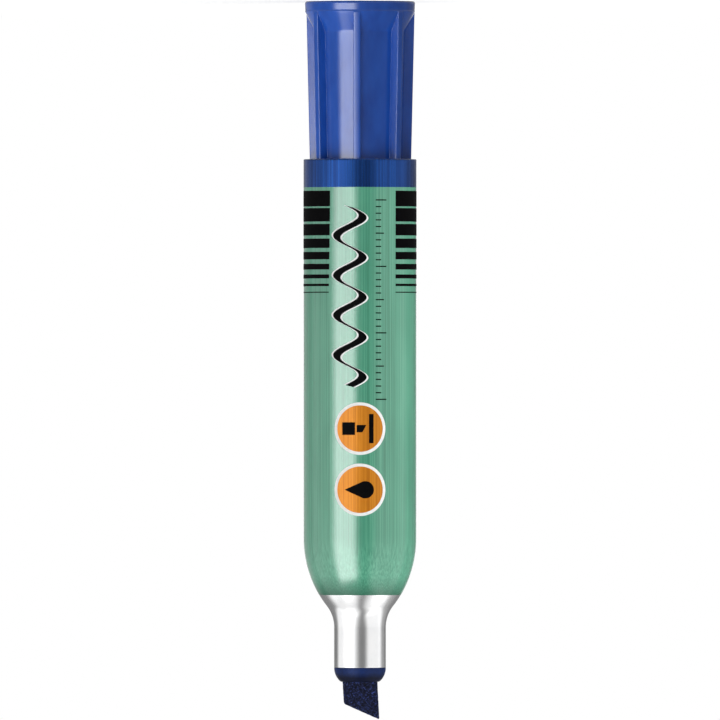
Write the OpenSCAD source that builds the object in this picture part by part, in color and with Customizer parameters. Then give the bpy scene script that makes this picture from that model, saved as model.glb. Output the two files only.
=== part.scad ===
// Permanent marker with a drawn aluminium barrel, a felt chisel nib and a fluted push-on cap.
// It stands nib up on the flat end of its cap, which is posted in the rear of the barrel.
// Millimetres. The origin is the middle of the cap's flat end, and +Z runs along the axis to the nib.

/* [Barrel] */
// Outer diameter of the barrel
barrel_d = 17; // [15:0.1:21]
// Wall of the barrel, which is drawn from one slug of aluminium
barrel_wall = 0.45; // [0.3:0.01:0.6]
// Length of the barrel from its rear rim to the end of its neck
barrel_len = 76.7; // [60:0.1:100]
// Length of the straight part of the neck
neck_len = 6.1; // [4:0.1:9]
// Radius of the shoulder where it leaves the barrel
shoulder_round = 16.6; // [12:0.1:22]
// Radius of the hollow where the shoulder runs into the neck
neck_hollow = 5.2; // [4:0.1:7]
// Bevel on the edges of the rear rim
rim_bevel = 0.12; // [0.05:0.01:0.2]

/* [Nib] */
// Width of the felt nib
nib_w = 5.2; // [4.2:0.1:6.4]
// Thickness of the felt nib
nib_t = 3.1; // [2.4:0.1:3.8]
// Rounding of the nib's long edges
nib_round = 1; // [0.6:0.05:1.15]
// Swelling of the felt on each side where it leaves the holder
nib_swell = 0.05; // [0.04:0.01:0.1]
// How far the nib's long corner stands out of the holder
nib_out = 5.75; // [4.5:0.05:8]
// Slant of the chisel cut, in degrees
nib_cut = 24; // [10:1:30]
// Lean of the nib towards its long corner, in degrees
nib_lean = 3; // [0:0.5:5]
// Length of the nib inside the ink reservoir
nib_dip = 9; // [5:0.5:20]

/* [Nib holder] */
// Wall of the holder between the nib's corners and the neck
holder_wall = 0.7; // [0.5:0.05:1]
// Length of the rounded nose in front of the neck
nose_len = 2.1; // [1.5:0.1:3]
// Edge left round the nib's corners at the end of the nose
nose_edge = 0.2; // [0.1:0.05:0.4]
// Length of the holder's shank behind the straight neck
shank_back = 5; // [4.5:0.1:8]
// Height of the snap lip that keeps the holder in the neck
snap_lip = 0.3; // [0.1:0.05:0.35]
// Length of the snap lip
snap_lip_len = 1; // [0.6:0.1:1.2]
// Distance of the snap lip behind the straight neck
snap_back = 2.6; // [2.4:0.1:3.2]
// Radius of the two air channels beside the nib
air_channel_r = 0.3; // [0.2:0.05:0.4]

/* [Ink reservoir] */
// Thickness of the film wrapped round the fibre core
film_t = 0.12; // [0.05:0.01:0.2]
// Outer diameter of the breather tube
breather_d = 1.6; // [1.2:0.1:2]
// Bore of the breather tube
breather_bore = 1; // [0.6:0.1:1]
// Fibre left between the breather tube and the film
breather_cover = 0.3; // [0.2:0.05:0.6]
// How far the breather tube stands out of the core at the nib end
breather_out = 2; // [1:0.1:3]

/* [Tail plug] */
// Length of the plug that closes the barrel behind the reservoir
plug_len = 6; // [4:0.1:9]
// Thickness of the plug's end and of its skirt
plug_wall = 1.1; // [0.8:0.05:1.5]
// Thickness of the cross ribs inside the plug
plug_rib_t = 0.9; // [0.6:0.05:1.2]

/* [Cap] */
// Length of the cap that shows behind the barrel
cap_show = 23.8; // [19:0.1:30]
// Length of the cap inside the rear of the barrel
cap_post = 6; // [4:0.1:8]
// How far the flange lies inside the barrel's outline
flange_inset = 0.2; // [0.1:0.05:0.4]
// Thickness of the flange at the cap's closed end
flange_t = 1.4; // [1:0.1:2]
// Bevel on the flange's edges
flange_bevel = 0.25; // [0.1:0.05:0.4]
// Number of ribs round the cap
rib_count = 7; // [5:1:9]
// Width of one rib
rib_w = 1.1; // [0.8:0.05:1.5]
// Distance of the flutes from the flange's edge
flute_set_back = 0.15; // [0.1:0.05:0.4]
// Height of the slope that ends each flute under the flange
flute_slope = 3.05; // [2:0.05:4.5]
// How far the ribs stand inside the collar's radius at the barrel's rim
rib_relief = 0.2; // [0.1:0.05:0.4]
// Turn of the ribs round the axis, in degrees
rib_turn = -86.8; // [-180:0.1:180]
// Length of the flutes inside the barrel, past its rim
flute_over = 0.5; // [0.3:0.05:1]
// Length of the ring between the flutes and the collar
collar_set_back = 0.3; // [0.2:0.05:0.6]
// Wall of the cap behind the flutes and in the collar
cap_wall = 1; // [0.8:0.05:1.2]
// Thickness of the plate that closes the cap
cap_plate = 1.4; // [1:0.1:2]
// Depth of the dish in the cap's flat end
dish_depth = 0.4; // [0.2:0.05:0.6]
// Width of the flat ring that the cap stands on
dish_ring = 1.7; // [1:0.1:2.5]

/* [Cap seal] */
// Wall of the inner cap that closes over the neck
seal_wall = 0.8; // [0.6:0.05:0.9]
// Length of the neck inside the inner cap when the cap is on the nib
seal_overlap = 3; // [2:0.1:4]
// Depth of the socket that holds the inner cap
seal_socket = 4; // [2:0.1:6]
// Space round the inner cap in front of its socket
seal_room = 0.6; // [0.3:0.05:0.8]

/* [Fits] */
// Radial clearance of the cap's collar in the barrel
post_gap = 0.07; // [0.02:0.01:0.1]
// Radial clearance of the inner cap on the neck
seal_gap = 0.05; // [0.02:0.01:0.1]
// Clearance between pieces that are pressed together
press_gap = 0.02; // [0.01:0.01:0.04]
// Clearance of the nib in its slot
slot_gap = 0.04; // [0.02:0.01:0.06]
// Clearance of the wrapped reservoir in the barrel and at its ends
reservoir_gap = 0.1; // [0.05:0.01:0.2]
// Gap between the cap's mouth and the tail plug
stop_gap = 0.05; // [0.02:0.01:0.1]

/* [Hidden] */
$fn = 96;

// Points on each arc of the barrel's outline and of the nose
arc_steps = 14;
// How far cutting shapes reach past the surfaces they cut
cut_over = 1;

// Nib section, measured from the axis to its rounded corner
nib_reach = norm([nib_w / 2 - nib_round, nib_t / 2 - nib_round]) + nib_round;
slot_reach = nib_reach + slot_gap;

// Radii, from the nib outwards to the neck, and from the barrel inwards
shank_r = slot_reach + holder_wall;
neck_bore_r = shank_r + press_gap;
neck_r = neck_bore_r + barrel_wall;
barrel_r = barrel_d / 2;
bore_r = barrel_r - barrel_wall;

// The shoulder is two arcs that meet at a common tangent
shoulder_drop = barrel_r - neck_r;
shoulder_sum = shoulder_round + neck_hollow;
shoulder_turn = acos(1 - shoulder_drop / shoulder_sum);
shoulder_len = shoulder_sum * sin(shoulder_turn);

// Places along the axis
rim_z = cap_show;
neck_end_z = rim_z + barrel_len;
neck_z = neck_end_z - neck_len;
shoulder_z = neck_z - shoulder_len;
nose_z = neck_end_z + nose_len;
tip_z = nose_z + nib_out;
cap_end_z = rim_z + cap_post;
plug_z = cap_end_z + stop_gap;
reservoir_z = plug_z + plug_len + reservoir_gap;
reservoir_len = shoulder_z - reservoir_z;

// The nose rounds off from the neck's radius to the edge round the nib
nose_end_r = slot_reach + nose_edge;
nose_drop = neck_r - nose_end_r;
nose_round = (nose_len * nose_len + nose_drop * nose_drop) / (2 * nose_drop);

// Reservoir radii
film_r = bore_r - reservoir_gap;
core_r = film_r - film_t - press_gap;
breather_x = core_r - breather_cover - breather_d / 2;

// Inner cap, which slides over the neck
seal_bore_r = neck_r + seal_gap;
seal_r = seal_bore_r + seal_wall;

// Cap, from the inner cap outwards to the flutes and from the barrel inwards to the ribs and collar
collar_r = bore_r - post_gap;
flange_r = barrel_r - flange_inset;
rib_end_r = collar_r - rib_relief;
flute_z = flange_t + flute_set_back;
slope_z = flute_z + flute_slope;
flute_end_z = rim_z + flute_over;
collar_z = flute_end_z + collar_set_back;
cavity_r = seal_r + seal_room;
flute_depth = rib_r(flute_end_z) - cap_wall - cavity_r;
mouth_r = collar_r - cap_wall;
plate_z = dish_depth + cap_plate;
dish_r = flange_r - dish_ring;
rib_angle = 2 * asin(rib_w / 2 / rib_r(rim_z));

// With the cap on the nib, its mouth stops on the shoulder, and the inner cap reaches over the neck
mouth_stop_z = shoulder_z + third_side(shoulder_round, shoulder_round - (barrel_r - mouth_r));
seal_end_z = cap_end_z - (neck_end_z - seal_overlap - mouth_stop_z);

// The ribs widen evenly from the barrel's rim to the flange, and the flutes follow them
function rib_r(z) = rib_end_r + (flange_r - rib_end_r) * (rim_z - z) / (rim_z - flange_t);
function flute_r(z) = rib_r(z) - flute_depth;

// Height of the slope at the end of a flute, at a radius
function slope_at(r) = slope_z - flute_slope * (r - flute_r(slope_z)) / (rib_r(flute_z) - flute_r(slope_z));

// Third side of a right-angled triangle, from its longest side and another
function third_side(longest, other) = sqrt(longest * longest - other * other);

function reversed(points) = [for (i = [len(points) - 1 : -1 : 0]) points[i]];

// Outline of the shoulder from the barrel to the neck, set in by the wall for the inside
function shoulder_line(inset) = concat(
    [
        for (i = [0 : arc_steps])
            let (turn = shoulder_turn * i / arc_steps)
            [
                barrel_r - shoulder_round + (shoulder_round - inset) * cos(turn),
                shoulder_z + (shoulder_round - inset) * sin(turn)
            ]
    ],
    [
        for (i = [arc_steps - 1 : -1 : 0])
            let (turn = shoulder_turn * i / arc_steps)
            [
                neck_r + neck_hollow - (neck_hollow + inset) * cos(turn),
                neck_z - (neck_hollow + inset) * sin(turn)
            ]
    ]
);

// Outline of the nose from the neck's end to the edge round the nib
function nose_line() = [
    for (i = [0 : arc_steps])
        let (turn = asin(nose_len / nose_round) * i / arc_steps)
        [neck_r - nose_round + nose_round * cos(turn), neck_end_z + nose_round * sin(turn)]
];

// Rounded section of the nib, grown for its swollen end and for the slots that take it
module nib_section(grow) {
    flat_w = nib_w - 2 * nib_round;
    flat_t = nib_t - 2 * nib_round;
    edge_r = nib_round + grow;
    square([flat_w, flat_t + 2 * edge_r], center = true);
    square([flat_w + 2 * edge_r, flat_t], center = true);
    for (x = [-1, 1], y = [-1, 1])
        translate([x * flat_w / 2, y * flat_t / 2])
            circle(edge_r);
}

module barrel() {
    color("mediumseagreen")
        rotate_extrude()
            polygon(concat(
                [[barrel_r - rim_bevel, rim_z], [barrel_r, rim_z + rim_bevel]],
                shoulder_line(0),
                [[neck_r, neck_end_z], [neck_bore_r, neck_end_z]],
                reversed(shoulder_line(barrel_wall)),
                [[bore_r, rim_z + rim_bevel], [bore_r + rim_bevel, rim_z]]
            ));
}

module nib_holder() {
    shank_z = neck_z - shank_back;
    lip_z = neck_z - snap_back;
    color("royalblue")
        difference() {
            rotate_extrude()
                polygon(concat(
                    [
                        [0, shank_z],
                        [shank_r, shank_z],
                        [shank_r, lip_z - snap_lip_len],
                        [shank_r + snap_lip, lip_z - snap_lip],
                        [shank_r + snap_lip, lip_z],
                        [shank_r, lip_z],
                        [shank_r, neck_end_z]
                    ],
                    nose_line(),
                    [[0, nose_z]]
                ));
            translate([0, 0, shank_z - cut_over])
                linear_extrude(nose_z - shank_z + 2 * cut_over)
                    nib_section(slot_gap);
            for (side = [-1, 1])
                translate([0, side * (nib_t / 2 + slot_gap), shank_z - cut_over])
                    cylinder(r = air_channel_r, h = nose_z - shank_z + 2 * cut_over);
        }
}

module nib() {
    tail_z = shoulder_z - nib_dip;
    swell_z = nose_z + slot_gap;
    long_x = (nib_w / 2 + nib_swell) / cos(nib_lean) + (tip_z - swell_z) * tan(nib_lean);
    side_x = long_x + cut_over;
    color("midnightblue") {
        translate([0, 0, tail_z])
            linear_extrude(swell_z - tail_z)
                nib_section(0);
        intersection() {
            translate([0, 0, swell_z])
                rotate([0, -nib_lean, 0])
                    translate([0, 0, -cut_over])
                        linear_extrude(nib_out + 3 * cut_over)
                            nib_section(nib_swell);
            rotate([90, 0, 0])
                linear_extrude(nib_t + 2 * cut_over, center = true)
                    polygon([
                        [-side_x, swell_z],
                        [side_x, swell_z],
                        [side_x, tip_z - (side_x + long_x) * tan(nib_cut)],
                        [-side_x, tip_z + (side_x - long_x) * tan(nib_cut)]
                    ]);
        }
    }
}

module reservoir_core() {
    color("slateblue")
        difference() {
            translate([0, 0, reservoir_z])
                cylinder(r = core_r, h = reservoir_len);
            translate([0, 0, shoulder_z - nib_dip - reservoir_gap])
                linear_extrude(nib_dip + reservoir_gap + cut_over)
                    nib_section(slot_gap);
            translate([breather_x, 0, reservoir_z - cut_over])
                cylinder(r = breather_d / 2 + press_gap, h = reservoir_len + 2 * cut_over);
        }
}

module reservoir_film() {
    color("lightsteelblue")
        translate([0, 0, reservoir_z])
            difference() {
                cylinder(r = film_r, h = reservoir_len);
                translate([0, 0, -cut_over])
                    cylinder(r = film_r - film_t, h = reservoir_len + 2 * cut_over);
            }
}

module breather_tube() {
    color("whitesmoke")
        translate([breather_x, 0, reservoir_z])
            difference() {
                cylinder(r = breather_d / 2, h = reservoir_len + breather_out);
                translate([0, 0, -cut_over])
                    cylinder(r = breather_bore / 2, h = reservoir_len + breather_out + 2 * cut_over);
            }
}

module tail_plug() {
    plug_r = bore_r - press_gap;
    color("gainsboro")
        translate([0, 0, plug_z]) {
            difference() {
                cylinder(r = plug_r, h = plug_len);
                translate([0, 0, plug_wall])
                    cylinder(r = plug_r - plug_wall, h = plug_len);
            }
            for (turn = [0, 90])
                rotate([0, 0, turn])
                    translate([0, 0, plug_len / 2])
                        cube([2 * plug_r - plug_wall, plug_rib_t, plug_len], center = true);
        }
}

module cap_shell() {
    pitch = 360 / rib_count;
    outside_r = flange_r + cut_over;
    socket_z = plate_z + seal_socket;
    cone_z = collar_z + mouth_r - cavity_r;
    color("royalblue")
        difference() {
            rotate_extrude()
                polygon([
                    [0, dish_depth],
                    [dish_r - dish_depth, dish_depth],
                    [dish_r, 0],
                    [flange_r - flange_bevel, 0],
                    [flange_r, flange_bevel],
                    [flange_r, flange_t],
                    [rib_r(collar_z), collar_z],
                    [collar_r, collar_z + rib_relief],
                    [collar_r, cap_end_z],
                    [0, cap_end_z]
                ]);
            rotate_extrude()
                polygon([
                    [0, plate_z],
                    [seal_r + press_gap, plate_z],
                    [seal_r + press_gap, socket_z],
                    [cavity_r, socket_z],
                    [cavity_r, collar_z],
                    [mouth_r, cone_z],
                    [mouth_r, cap_end_z + cut_over],
                    [0, cap_end_z + cut_over]
                ]);
            for (i = [0 : rib_count - 1])
                rotate([0, 0, rib_turn + i * pitch + rib_angle / 2])
                    rotate_extrude(angle = pitch - rib_angle)
                        polygon([
                            [flute_r(slope_z), slope_z],
                            [outside_r, slope_at(outside_r)],
                            [outside_r, flute_end_z],
                            [flute_r(flute_end_z), flute_end_z]
                        ]);
        }
}

module cap_seal() {
    color("aliceblue")
        difference() {
            translate([0, 0, plate_z])
                cylinder(r = seal_r, h = seal_end_z - plate_z);
            translate([0, 0, plate_z + seal_wall])
                cylinder(r = seal_bore_r, h = seal_end_z - plate_z);
        }
}

barrel();
nib_holder();
nib();
reservoir_core();
reservoir_film();
breather_tube();
tail_plug();
cap_shell();
cap_seal();
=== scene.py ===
import math

import bmesh
import bpy
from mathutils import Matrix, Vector, noise


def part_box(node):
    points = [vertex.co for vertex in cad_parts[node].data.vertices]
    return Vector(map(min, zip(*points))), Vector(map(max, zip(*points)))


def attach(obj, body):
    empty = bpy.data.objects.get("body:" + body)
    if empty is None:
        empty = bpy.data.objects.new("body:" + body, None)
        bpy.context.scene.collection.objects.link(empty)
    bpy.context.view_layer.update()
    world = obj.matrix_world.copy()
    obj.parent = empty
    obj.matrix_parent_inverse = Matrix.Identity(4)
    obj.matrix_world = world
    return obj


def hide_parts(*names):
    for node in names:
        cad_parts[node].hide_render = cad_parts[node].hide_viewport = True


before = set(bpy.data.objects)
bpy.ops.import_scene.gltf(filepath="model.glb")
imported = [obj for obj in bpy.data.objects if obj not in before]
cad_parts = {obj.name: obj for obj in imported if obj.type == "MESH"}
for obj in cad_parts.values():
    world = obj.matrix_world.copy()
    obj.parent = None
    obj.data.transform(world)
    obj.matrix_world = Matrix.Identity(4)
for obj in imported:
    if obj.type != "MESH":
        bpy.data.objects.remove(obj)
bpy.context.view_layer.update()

# Camera
# It stands level with the middle of the marker, far enough off to flatten the perspective.
# It hangs upside down, so that the marker shows with its nib down.
MM = 0.001
PICTURE_SPAN = 108.61 * MM
PICTURE_MIDDLE = 54.08 * MM
CAMERA_DISTANCE = 3.0
SENSOR_WIDTH = 36

camera_data = bpy.data.cameras.new("camera")
camera_data.sensor_width = SENSOR_WIDTH
camera_data.lens = SENSOR_WIDTH * CAMERA_DISTANCE / PICTURE_SPAN
camera = bpy.data.objects.new("camera", camera_data)
camera.location = (0, -CAMERA_DISTANCE, PICTURE_MIDDLE)
camera.rotation_euler = (math.pi / 2, math.pi, 0)
bpy.context.scene.collection.objects.link(camera)
bpy.context.scene.camera = camera
bpy.context.scene.view_settings.view_transform = "Standard"

# Floor
# A white sheet of paper that the marker stands on, on the grey floor of a studio.
# The camera sees plain white, apart from the shadow close to the marker. Reflections see white only
# close to the marker, and the light that bounces off the floor is that of the grey.
FLOOR_HALF = 6.0
FLOOR_PAPER = 0.86
FLOOR_STUDIO = 0.22
FLOOR_GLOW_NEAR = 0.4
FLOOR_FADE = (0.01, 0.14)
FLOOR_MIRRORED = (0.005, 0.03)


def new_material(name):
    """A node material, its node tree and its main shader."""
    material = bpy.data.materials.new(name)
    material.use_nodes = True
    tree = material.node_tree
    return material, tree, tree.nodes["Principled BSDF"]


def maths(tree, operation, first, second):
    """Output of a sum on two sockets or numbers."""
    made = tree.nodes.new("ShaderNodeMath")
    made.operation = operation
    for value, socket in zip((first, second), made.inputs):
        if isinstance(value, bpy.types.NodeSocket):
            tree.links.new(value, socket)
        else:
            socket.default_value = value
    return made.outputs["Value"]


def between(tree, factor, low, high, span=(0.0, 1.0)):
    """Output that runs from low to high as the factor runs over its span."""
    made = tree.nodes.new("ShaderNodeMapRange")
    for name, value in zip(("From Min", "From Max", "To Min", "To Max"), (*span, low, high)):
        made.inputs[name].default_value = value
    tree.links.new(factor, made.inputs["Value"])
    return made.outputs["Result"]


def seen_white(tree, paper):
    """Share of white that is seen: all by the camera, and what is paper in a mirror or through glass."""
    path = tree.nodes.new("ShaderNodeLightPath")
    rays = path.outputs
    mirrored = maths(tree, "MAXIMUM", rays["Is Glossy Ray"], rays["Is Transmission Ray"])
    white = maths(tree, "MULTIPLY", mirrored, paper)
    return maths(tree, "MAXIMUM", rays["Is Camera Ray"], white)


def floor_paper():
    """Paper that glows white to the camera and fades into shadow close to the marker."""
    material, tree, shader = new_material("floor_paper")
    shader.inputs["Roughness"].default_value = 1
    glow = tree.nodes.new("ShaderNodeEmission")
    place = tree.nodes.new("ShaderNodeTexCoord")
    distance = tree.nodes.new("ShaderNodeVectorMath")
    distance.operation = "LENGTH"
    tree.links.new(place.outputs["Object"], distance.inputs[0])
    far = distance.outputs["Value"]
    path = tree.nodes.new("ShaderNodeLightPath")
    paper = between(tree, path.outputs["Is Camera Ray"], FLOOR_STUDIO, FLOOR_PAPER)
    tree.links.new(paper, shader.inputs["Base Color"])
    share = between(tree, far, FLOOR_GLOW_NEAR, 1, FLOOR_FADE)
    mix = tree.nodes.new("ShaderNodeMixShader")
    seen = seen_white(tree, between(tree, far, 1, 0, FLOOR_MIRRORED))
    tree.links.new(maths(tree, "MULTIPLY", share, seen), mix.inputs["Fac"])
    tree.links.new(shader.outputs["BSDF"], mix.inputs[1])
    tree.links.new(glow.outputs["Emission"], mix.inputs[2])
    tree.links.new(mix.outputs["Shader"], tree.nodes["Material Output"].inputs["Surface"])
    return material


floor_mesh = bpy.data.meshes.new("floor")
floor_corners = ((-1, -1), (1, -1), (1, 1), (-1, 1))
floor_points = [(x * FLOOR_HALF, y * FLOOR_HALF, 0) for x, y in floor_corners]
floor_mesh.from_pydata(floor_points, [], [(0, 1, 2, 3)])
floor_mesh.materials.append(floor_paper())
floor = bpy.data.objects.new("floor", floor_mesh)
bpy.context.scene.collection.objects.link(floor)

# Lamps and room
# Softboxes stand round the marker, each a pair of lamps for light and for gloss: a bright one to the left
# of the picture and a dimmer one to the right, panels, brows and roofs beside and above them, fills and
# one lamp behind. Cards keep some off the cap or the metal. The room is dim, with a white sheet behind.
GLOSS_DISTANCE = 0.9
LIGHT_DISTANCE = 0.95
LAMP_AIM_Z = 0.06
LAMP_MIDDLE = 0.5
LAMP_FADE = 0.25
WALL_FADE = 0.12
METAL_FADE = 0.5
BROW_FADES = (0.3, 0.33)
ROOF_FADE = 0.217
LAMP_SOFTNESS = 2
ROOM_DIM = 0.24
ROOM_SHEET = (0.97, 0.995)

off_the_cap = bpy.data.collections.new("off_the_cap")
on_the_cap = bpy.data.collections.new("on_the_cap")
off_the_bare_metal = bpy.data.collections.new("off_the_bare_metal")
off_the_metal = bpy.data.collections.new("off_the_metal")
on_the_metal = bpy.data.collections.new("on_the_metal")


def lamp(name, distance, azimuths, heights, brightness, end_fade, side_fade):
    """Lamp aimed at the marker, over spans of azimuth and elevation in degrees, that fades at its edges."""
    turn = math.radians(sum(azimuths) / 2)
    rise = math.radians(sum(heights) / 2)
    level = math.cos(rise)
    outward = Vector((math.sin(turn) * level, -math.cos(turn) * level, math.sin(rise)))
    spread = math.radians(abs(azimuths[1] - azimuths[0])) * level
    data = bpy.data.lights.new(name, "AREA")
    data.shape = "RECTANGLE"
    data.size = 2 * distance * math.tan(spread / 2)
    data.size_y = 2 * distance * math.tan(math.radians(heights[1] - heights[0]) / 2)
    data.energy = brightness * math.pi * data.size * data.size_y
    data.use_nodes = True
    tree = data.node_tree
    place = tree.nodes.new("ShaderNodeNewGeometry")
    axes = tree.nodes.new("ShaderNodeSeparateXYZ")
    tree.links.new(place.outputs["Parametric"], axes.inputs["Vector"])
    fades = []
    for axis, fade in (("X", side_fade), ("Y", end_fade)):
        off_middle = maths(tree, "SUBTRACT", axes.outputs[axis], LAMP_MIDDLE)
        off_middle = maths(tree, "ABSOLUTE", off_middle, 0)
        fades.append(between(tree, off_middle, 1, 0, (LAMP_MIDDLE - fade, LAMP_MIDDLE)))
    soft_sides = maths(tree, "POWER", fades[0], LAMP_SOFTNESS)
    glow = maths(tree, "MULTIPLY", soft_sides, fades[1])
    tree.links.new(glow, tree.nodes["Emission"].inputs["Strength"])
    made = bpy.data.objects.new(name, data)
    made.location = outward * distance + Vector((0, 0, LAMP_AIM_Z))
    made.rotation_mode = "QUATERNION"
    made.rotation_quaternion = (-outward).to_track_quat("-Z", "Y")
    made.visible_camera = False
    bpy.context.scene.collection.objects.link(made)
    return made


def softbox(name, azimuths, heights, light, gloss, end_fade, carded, card=off_the_cap, side_fade=LAMP_FADE):
    """Pair of lamps, one for light and one for gloss. A card keeps one or both to some pieces."""
    parts = (("light", light, LIGHT_DISTANCE), ("gloss", gloss, GLOSS_DISTANCE))
    for part, brightness, distance in parts:
        if not brightness:
            continue
        made = lamp(f"{name}_{part}", distance, azimuths, heights, brightness, end_fade, side_fade)
        made.visible_diffuse = part == "light"
        made.visible_glossy = part == "gloss"
        if carded in (part, "both"):
            made.light_linking.receiver_collection = card


softbox("left", (-1, 64), (-34, 48.5), 1.4, 5.6, WALL_FADE, "gloss", off_the_metal)
softbox("left_metal", (-5, 88), (-34, 60), 0, 1.9, LAMP_FADE, "gloss", on_the_metal, METAL_FADE)
softbox("right", (-16, -121), (-34, 58), 0.85, 0.8, WALL_FADE, "both")
softbox("panel_left", (36, 128), (-30, 52), 1.6, 0.8, WALL_FADE, "gloss")
softbox("rim_left", (112, 166), (-20, 30), 0, 0.3, LAMP_FADE, "gloss", off_the_bare_metal)
softbox("panel_right", (-80, -148), (-30, 52), 0.3, 0.15, WALL_FADE, "both")
softbox("fill_right", (-30, -140), (-20, 60), 0.8, 0, LAMP_FADE, "light")
softbox("fill_barrel", (-15, -90), (-20, 60), 2.1, 0, LAMP_FADE, "light")
softbox("fill_cap", (30, -40), (-20, 60), 1.55, 0, LAMP_FADE, "light", on_the_cap)
softbox("brow_left", (-14, 84), (36, 70), 0, 0.6, BROW_FADES[0], "gloss")
softbox("brow_right", (-12, -114), (40, 70), 0, 0.4, BROW_FADES[1], "gloss")
softbox("roof_left", (0, 165), (42, 88), 0.95, 0.66, ROOF_FADE, "gloss")
softbox("roof_right", (-22, -175), (42, 88), 1.05, 0.66, ROOF_FADE, "gloss")
softbox("back", (150, 210), (-12, 50), 1.8, 0.4, LAMP_FADE, "gloss", off_the_bare_metal)

room = bpy.data.worlds.new("room")
room.use_nodes = True
bpy.context.scene.world = room
room_tree = room.node_tree
room_place = room_tree.nodes.new("ShaderNodeTexCoord")
room_axes = room_tree.nodes.new("ShaderNodeSeparateXYZ")
room_tree.links.new(room_place.outputs["Generated"], room_axes.inputs["Vector"])
room_seen = seen_white(room_tree, between(room_tree, room_axes.outputs["Y"], 0, 1, ROOM_SHEET))
room_light = room_tree.nodes["Background"]
room_tree.links.new(between(room_tree, room_seen, ROOM_DIM, 1), room_light.inputs["Strength"])
room_light.inputs["Color"].default_value = (1, 1, 1, 1)

# Barrel
# A shell drawn from one slug of aluminium, with a rounded shoulder and a neck.
# It is brushed along its length, and its neck and the end of the shoulder stay bare and polished.
barrel_low, barrel_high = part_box("barrel")
BARREL_R = barrel_high.x
RIM_Z = barrel_low.z
NECK_END_Z = barrel_high.z
NECK_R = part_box("nib_holder")[1].x
BARREL_WALL = 0.45 * MM
BORE_R = BARREL_R - BARREL_WALL
NECK_LENGTH = 6.1 * MM
SHOULDER_ROUND = 16.6 * MM
NECK_HOLLOW = 5.2 * MM
RIM_ROUND = 0.16 * MM
NECK_EDGE = 0.1 * MM
EDGE_BAND = 0.1 * MM
BARREL_SIDES = 192
ARC_STEPS = 20
RIM_STEPS = 8
BORE_RIM_STEPS = 6
NECK_EDGE_STEPS = 4
WELD = 0.0002 * MM
SHARP_TURN = 30
GRAIN_SPAN = (0.3, 0.7)
TURNING_MARK = 0.07 * MM
TURNING_DRAW = (90, 90, 1)
METAL_SPREAD = (0.92, 1.1)
METAL_CLOUD = 2.5 * MM
METAL_TONES = ((0.3, (0.86, 0.865, 0.875)), (0.7, (0.92, 0.92, 0.92)))
BARE_METAL, INSIDE_METAL = range(2)

shoulder_turn = math.acos(1 - (BARREL_R - NECK_R) / (SHOULDER_ROUND + NECK_HOLLOW))
NECK_Z = NECK_END_Z - NECK_LENGTH
SHOULDER_Z = NECK_Z - (SHOULDER_ROUND + NECK_HOLLOW) * math.sin(shoulder_turn)


def arc(middle_r, middle_z, radius, start, end, steps):
    """Points of an arc in radius and height, between two angles in degrees."""
    turns = [math.radians(start + (end - start) * i / steps) for i in range(steps + 1)]
    return [(middle_r + radius * math.cos(t), middle_z + radius * math.sin(t)) for t in turns]


def turned(profile, angles):
    """Rings of points made by turning a profile of radius and height about the axis."""
    return [[(r * math.cos(a), r * math.sin(a), z) for a in angles] for r, z in profile]


def skinned(name, rings, materials, finishes=None, looped=False, sharp=SHARP_TURN):
    """Object whose skin joins rings of points, each band in its own finish. Looped rings close up."""
    count = len(rings[0])
    bands = len(rings) if looped else len(rings) - 1
    faces = []
    for i in range(bands):
        below, above = i * count, (i + 1) % len(rings) * count
        for j in range(count):
            k = (j + 1) % count
            faces.append((below + j, below + k, above + k, above + j))
    mesh = bpy.data.meshes.new(name)
    mesh.from_pydata([point for ring in rings for point in ring], [], faces)
    for material in materials:
        mesh.materials.append(material)
    if finishes:
        face_finishes = [finishes[i] for i in range(bands) for _ in range(count)]
        mesh.polygons.foreach_set("material_index", face_finishes)
    shell = bmesh.new()
    shell.from_mesh(mesh)
    bmesh.ops.remove_doubles(shell, verts=shell.verts, dist=WELD)
    shell.to_mesh(mesh)
    shell.free()
    mesh.shade_smooth()
    mesh.set_sharp_from_angle(angle=math.radians(sharp))
    made = bpy.data.objects.new(name, mesh)
    bpy.context.scene.collection.objects.link(made)
    return made


def around(sides):
    """Angles of a full turn in even steps."""
    return [2 * math.pi * i / sides for i in range(sides)]


def shoulder(lift, low_z, high_z):
    """Points of the shoulder between two heights, lifted off the bare metal's outside."""
    bulge, hollow = SHOULDER_ROUND + lift, NECK_HOLLOW - lift
    meet = math.degrees(shoulder_turn)
    points = arc(BARREL_R - SHOULDER_ROUND, SHOULDER_Z, bulge, 0, meet, ARC_STEPS)
    points += arc(NECK_R + NECK_HOLLOW, NECK_Z, hollow, 180 + meet, 180, ARC_STEPS)[1:]
    return [(r, z) for r, z in points if low_z < z < high_z]


def grain(tree, size, draw=(1, 1, 1), detail=3.0, roughness=0.5):
    """Noise with grains of a size in metres, drawn out along the axes."""
    place = tree.nodes.new("ShaderNodeTexCoord")
    fit = tree.nodes.new("ShaderNodeMapping")
    fit.inputs["Scale"].default_value = [1 / (size * d) for d in draw]
    made = tree.nodes.new("ShaderNodeTexNoise")
    made.inputs["Scale"].default_value = 1
    made.inputs["Detail"].default_value = detail
    made.inputs["Roughness"].default_value = roughness
    tree.links.new(place.outputs["Object"], fit.inputs["Vector"])
    tree.links.new(fit.outputs["Vector"], made.inputs["Vector"])
    return made.outputs["Fac"]


def shades(tree, factor, stops):
    """Colour that runs through stops of place and colour as the factor rises."""
    made = tree.nodes.new("ShaderNodeValToRGB")
    elements = made.color_ramp.elements
    while len(elements) < len(stops):
        elements.new(0.5)
    for element, (place, colour) in zip(elements, stops):
        element.position = place
        element.color = (*colour, 1)
    tree.links.new(factor, made.inputs["Fac"])
    return made.outputs["Color"]


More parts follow.
